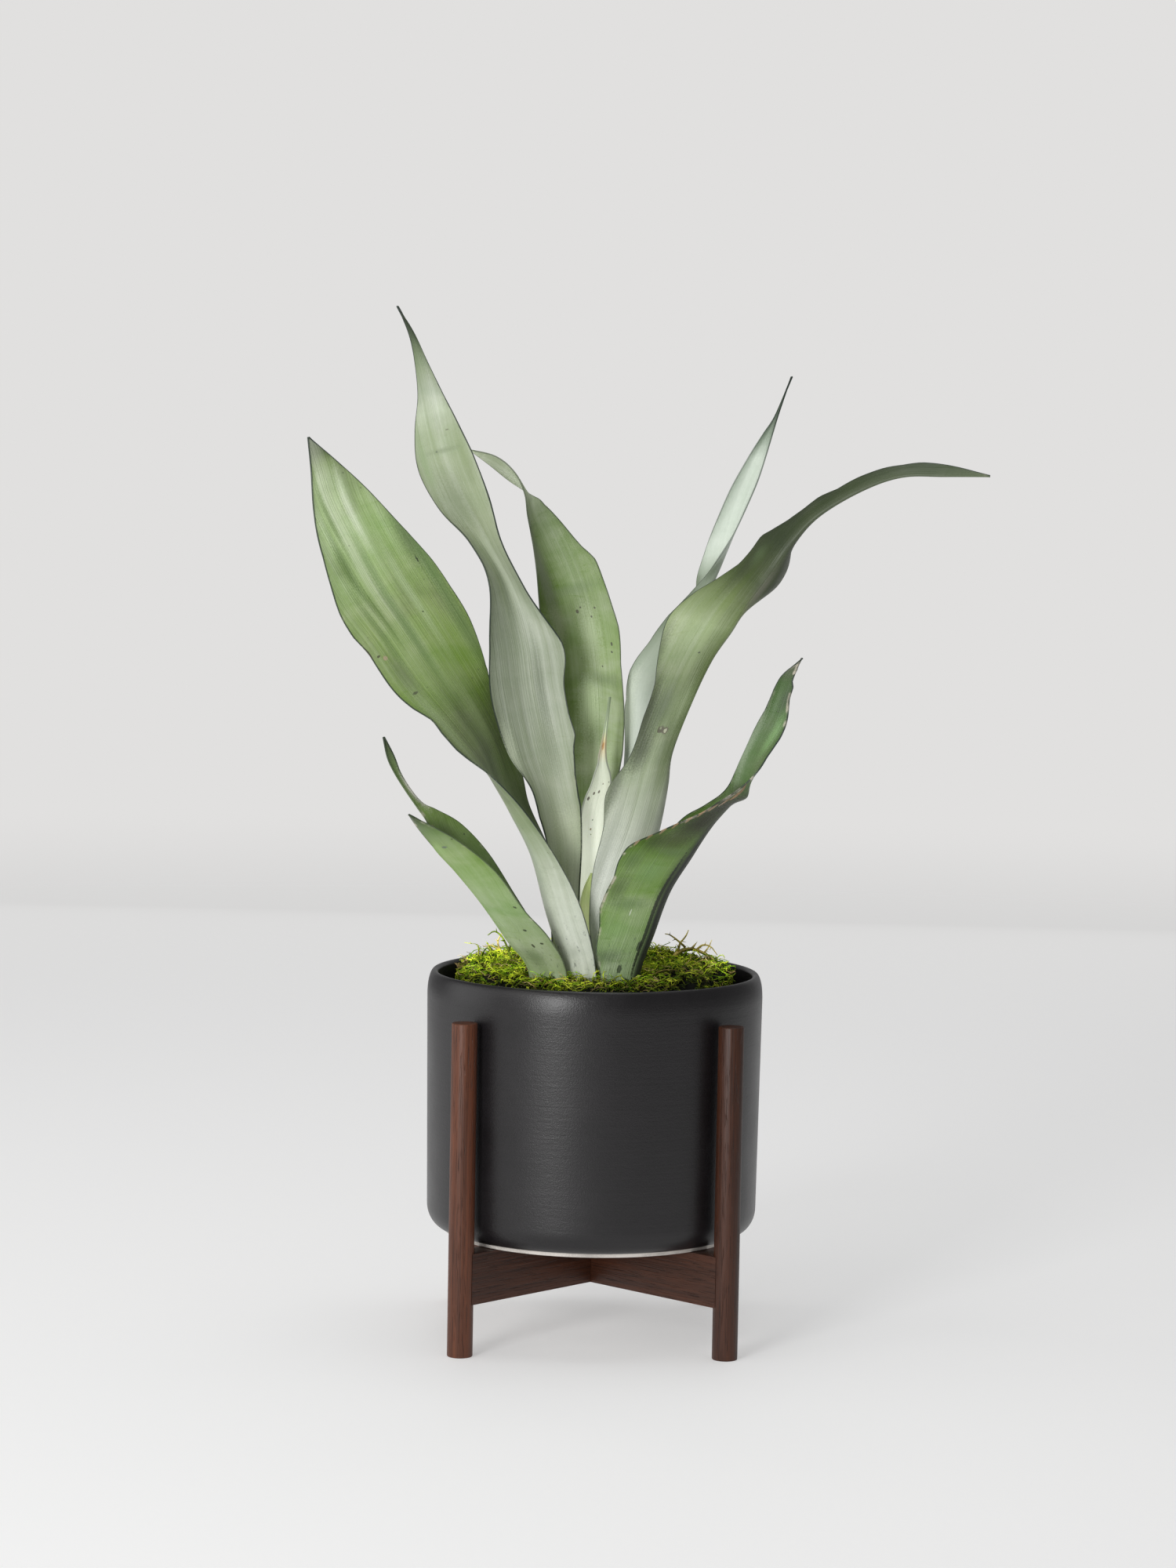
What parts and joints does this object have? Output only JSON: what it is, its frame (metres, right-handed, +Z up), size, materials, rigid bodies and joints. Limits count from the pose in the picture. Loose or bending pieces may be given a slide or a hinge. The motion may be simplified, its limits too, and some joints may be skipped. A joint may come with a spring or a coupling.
{
  "type": "potted moonshine snake plant on stand",
  "caption": "Snake plant with broad silver-green blades and green moss, in a matte black cylindrical planter that rests between the posts of a crossed wooden stand.",
  "frame": {"origin": "on the floor, under the middle of the whole outline with the leaves; the planter's axis stands 31 mm to -X of it", "axes": "+Z up, -Y towards the side that the plant shows to a viewer, +X to that viewer's right"},
  "size_m": [0.5001, 0.2551, 0.7754],
  "materials": {
    "stand_wood": "satin",
    "planter_glaze": "satin",
    "grow_pot_plastic": "matte",
    "potting_soil": "matte",
    "sheet_moss": "matte",
    "leaf_green": "satin",
    "leaf_silver": "satin",
    "leaf_mint": "satin"
  },
  "bodies": {
    "root": {"leg_front_left": "stand_wood", "leg_front_right": "stand_wood", "leg_back_left": "stand_wood", "leg_back_right": "stand_wood", "crossbar_lower": "stand_wood", "crossbar_upper": "stand_wood", "planter": "planter_glaze", "grow_pot": "grow_pot_plastic", "soil": "potting_soil", "moss": "sheet_moss", "leaf_1": "leaf_green", "leaf_2": "leaf_silver", "leaf_3": "leaf_green", "leaf_4": "leaf_mint", "leaf_5": "leaf_silver", "leaf_6": "leaf_green", "leaf_7": "leaf_mint", "leaf_8": "leaf_green", "leaf_9": "leaf_mint"}
  },
  "joints": []
}
